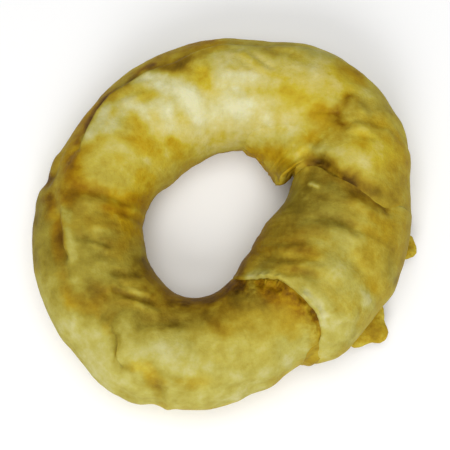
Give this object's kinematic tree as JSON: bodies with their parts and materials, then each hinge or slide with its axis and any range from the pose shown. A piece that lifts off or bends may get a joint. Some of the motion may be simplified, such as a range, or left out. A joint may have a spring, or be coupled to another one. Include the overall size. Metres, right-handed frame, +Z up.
{
  "type": "doughnut-shaped hide chew",
  "caption": "Chew for a dog: rolled hide bent into a doughnut, its ends joined under a wrapped cuff of hide with torn corners. It lies flat, and the hole goes right through.",
  "frame": {"origin": "on the floor, under the middle of the whole piece's bounding box", "axes": "+Z up out of the flat underside; -Y is the side nearest the picture's camera and +X its right-hand side, where the cuff is"},
  "size_m": [0.0918, 0.09, 0.0304],
  "materials": {
    "rolled_hide": "dried translucent hide, satin",
    "cuff_hide": "dried translucent hide, satin",
    "inner_hide": "rough flesh side of dried hide",
    "rough_hide": "rough flesh side of dried hide"
  },
  "bodies": {
    "root": {"rolled_ring": "rolled_hide", "cuff": "cuff_hide", "inner_turn": "inner_hide", "hole_tongue": "rough_hide"}
  },
  "joints": []
}
